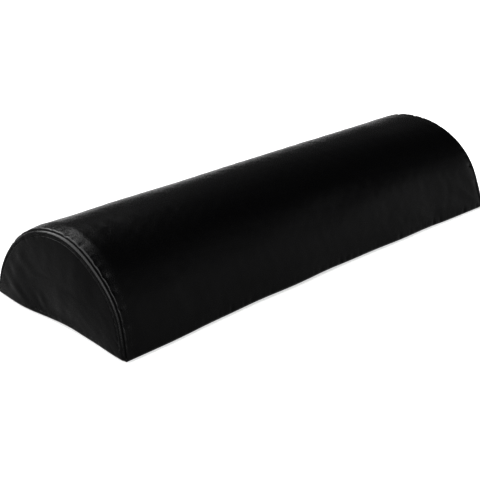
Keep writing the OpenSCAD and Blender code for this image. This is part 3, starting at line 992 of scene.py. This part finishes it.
# ---------------- filling
def arc_over(r, base_z, points=80):
    """(y, z) along a circle about the wall's centre line, over the crown from foot to foot."""
    foot = math.sqrt(r ** 2 - (base_z - CENTRE_Z) ** 2)
    start = math.atan2(foot, base_z - CENTRE_Z)
    angle = np.linspace(-start, start, points)
    return np.stack([r * np.sin(angle), CENTRE_Z + r * np.cos(angle)], -1)


def core_outline(r, base_z, groove_w, groove_z):
    """(y, z) round a half-round core with a groove along its base."""
    over = arc_over(r, base_z)
    foot = over[-1, 0]
    base_y = np.array([0.75, 0.5, 0.3]) * foot
    right = [(y, base_z) for y in base_y] + [(groove_w, base_z), (groove_w - 1.5 * MM, groove_z)]
    left = [(-y, z) for y, z in right[::-1]]
    return np.concatenate([over, np.array(right), np.array(left)])


def arch_outline(outer, inner, base_z):
    """(y, z) round a layer that lies over the curve of the core."""
    return np.concatenate([arc_over(outer, base_z), arc_over(inner, base_z)[::-1]])


FILL_EDGE = 12 * MM              # rounding of the filling's two ends
GROOVE_HALF, GROOVE_Z = 23 * MM, 9 * MM         # groove along the core that clears the zip
LINER_T = 0.4 * MM
LINER_GAP = 0.2 * MM


def build_filling():
    """Firm core, soft topper over it and the liner round both, their ends rounded to clear the seams."""
    core_lo, core_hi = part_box("foam_core")
    half = core_hi.x - 2.5 * MM
    base_z = core_lo.z + 0.6 * MM
    core_r = core_hi.z - CENTRE_Z - 0.3 * MM
    outline = core_outline(core_r, base_z, GROOVE_HALF, GROOVE_Z)
    core = joined("core_foam", [block(outline, half, FILL_EDGE)], firm_foam)
    place(core, ["foam_core"])
    top_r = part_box("foam_topper")[1].z - CENTRE_Z - 2.2 * MM
    outline = arch_outline(top_r, core_r + LINER_GAP, base_z + 5 * MM)
    topper = joined("topper_foam", [block(outline, half, FILL_EDGE)], soft_foam)
    place(topper, ["foam_topper"])
    liner_r = top_r + LINER_GAP
    outline = core_outline(liner_r + LINER_T, base_z - LINER_T, GROOVE_HALF, GROOVE_Z - LINER_T)
    outside = block(outline, half + LINER_GAP + LINER_T, FILL_EDGE)
    outline = core_outline(liner_r, base_z, GROOVE_HALF + LINER_T, GROOVE_Z)
    points, faces = block(outline, half + LINER_GAP, FILL_EDGE)
    inside = (points, [f[::-1] for f in faces])
    place(joined("liner_sleeve", [outside, inside], liner_cloth), ["core_liner"])


build_filling()

# ---------------- camera, floor and light
CAMERA_AZIMUTH, CAMERA_ELEVATION, CAMERA_ROLL = -46.4, 22.9, 1.4      # degrees
CAMERA_LENS, SENSOR = 83.9, 36.0                                      # millimetres
CAMERA_DISTANCE = 2.184          # lengths of the bolster
CAMERA_AIM = (-0.0487, -0.0667)  # right and up of the bolster's middle, in lengths of the bolster


def build_camera():
    a, e, roll_angle = (math.radians(v) for v in (CAMERA_AZIMUTH, CAMERA_ELEVATION, CAMERA_ROLL))
    back = Vector((math.sin(a) * math.cos(e), -math.cos(a) * math.cos(e), math.sin(e)))
    right = (-back).cross(Vector((0, 0, 1))).normalized()
    up = right.cross(-back)
    tilted_right = math.cos(roll_angle) * right + math.sin(roll_angle) * up
    tilted_up = -math.sin(roll_angle) * right + math.cos(roll_angle) * up
    length = 2 * HALF_L
    aim = Vector((0, 0, HEIGHT / 2))
    aim += length * (CAMERA_AIM[0] * tilted_right + CAMERA_AIM[1] * tilted_up)
    data = bpy.data.cameras.new("camera")
    data.lens, data.sensor_width = CAMERA_LENS, SENSOR
    data.clip_start, data.clip_end = 0.05, 60
    camera = bpy.data.objects.new("camera", data)
    bpy.context.scene.collection.objects.link(camera)
    turn = Matrix((tilted_right, tilted_up, back)).transposed().to_4x4()
    camera.matrix_world = Matrix.Translation(aim + back * CAMERA_DISTANCE * length) @ turn
    bpy.context.scene.camera = camera


def build_floor():
    """Floor that glows nearly white by itself, less so near the bolster, to read as plain white."""
    mat, tree, shader = blank_material("pale_floor")
    shader.inputs["Base Color"].default_value = (0.1, 0.1, 0.1, 1)
    shader.inputs["Roughness"].default_value = 0.9
    shader.inputs["Specular IOR Level"].default_value = 0.0
    shader.inputs["Emission Color"].default_value = (1, 1, 1, 1)
    near = add(tree, "ShaderNodeTexGradient", gradient_type="SPHERICAL")
    tree.links.new(object_coordinates(tree, (0.5, 0.5, 0.5)), near.inputs["Vector"])
    ramp(tree, near.outputs["Fac"], [(0.0, 0.92), (0.9, 0.62)], into=shader.inputs["Emission Strength"])
    size = 14
    points = [(-size, -size, 0), (size, -size, 0), (size, size, 0), (-size, size, 0)]
    floor = new_object("floor", points, [(0, 1, 2, 3)], mat, smooth_shade=False)


# brightness of the surroundings round the X axis, from the horizon behind (0) over the top to the
# horizon in front (1)
WORLD_TONES = [
    (0.0, 0.08), (0.09, 0.13), (0.175, 0.16), (0.26, 0.12), (0.35, 0.06), (0.44, 0.02),
    (0.53, 0.02), (0.62, 0.11), (0.71, 0.42), (0.80, 0.9), (0.89, 1.0), (1.0, 0.9),
]
WORLD_STRENGTH = 1.85
LEFT_SKY = 14.0                  # added high up at the left, where only the rolled seams mirror it


def build_world():
    """Soft surroundings: bright at the left, pale low in front, dim overhead and behind."""
    world = bpy.data.worlds.new("studio")
    bpy.context.scene.world = world
    world.use_nodes = True
    tree = world.node_tree
    background = tree.nodes["Background"]
    direction = add(tree, "ShaderNodeTexCoord").outputs["Generated"]
    split = add(tree, "ShaderNodeSeparateXYZ")
    tree.links.new(direction, split.inputs["Vector"])
    x, y, z = (split.outputs[axis] for axis in "XYZ")
    around = math_node(tree, "DIVIDE", math_node(tree, "ARCTAN2", z, y), math.pi)
    wall_tone = ramp(tree, around, WORLD_TONES)
    across = math_node(tree, "SUBTRACT", x, math_node(tree, "MULTIPLY", y, 0.25))
    left_tone = ramp(tree, across, [(0.02, 1.0), (0.17, 0.0)])
    height = ramp(tree, z, [(0.24, 0.02), (0.5, 1.0)])
    bright = math_node(tree, "MULTIPLY", math_node(tree, "MULTIPLY", left_tone, height), LEFT_SKY)
    total = math_node(tree, "ADD", math_node(tree, "MULTIPLY", wall_tone, WORLD_STRENGTH), bright)
    tree.links.new(total, background.inputs["Strength"])
    background.inputs["Color"].default_value = (1, 1, 1, 1)


LIGHT_DISTANCE = 2.4
LIGHT_HEADING = Vector((0.41, 0.42, 0.81))      # from the left end towards the softbox
LIGHT_SIZE = (1.9, 0.24)
LIGHT_POWER = 16
LIGHT_SLOPE = Vector((0.16, 1, -0.75))          # the way its long side runs


def strip_light(name, position, target, size, power):
    """A softbox facing the target, its long side sloping down towards the back."""
    data = bpy.data.lights.new(name, "AREA")
    data.shape = "RECTANGLE"
    data.size, data.size_y = size
    data.energy = power
    lamp = bpy.data.objects.new(name, data)
    bpy.context.scene.collection.objects.link(lamp)
    back = (Vector(position) - Vector(target)).normalized()
    long_side = (LIGHT_SLOPE - LIGHT_SLOPE.dot(back) * back).normalized()
    turn = Matrix((long_side, back.cross(long_side), back)).transposed().to_4x4()
    lamp.matrix_world = Matrix.Translation(position) @ turn


def build_lights():
    """One softbox above and behind, where only the left end's sloping band mirrors it."""
    middle = Vector((-HALF_L, 0, HEIGHT / 2))
    position = middle + LIGHT_DISTANCE * LIGHT_HEADING.normalized()
    strip_light("top_softbox", position, middle, LIGHT_SIZE, LIGHT_POWER)


build_camera()
build_floor()
build_world()
build_lights()
# darkens the picture's mid-tones; it doesn't change the materials or the model
bpy.context.scene.view_settings.view_transform = "Standard"
bpy.context.scene.view_settings.gamma = 0.63
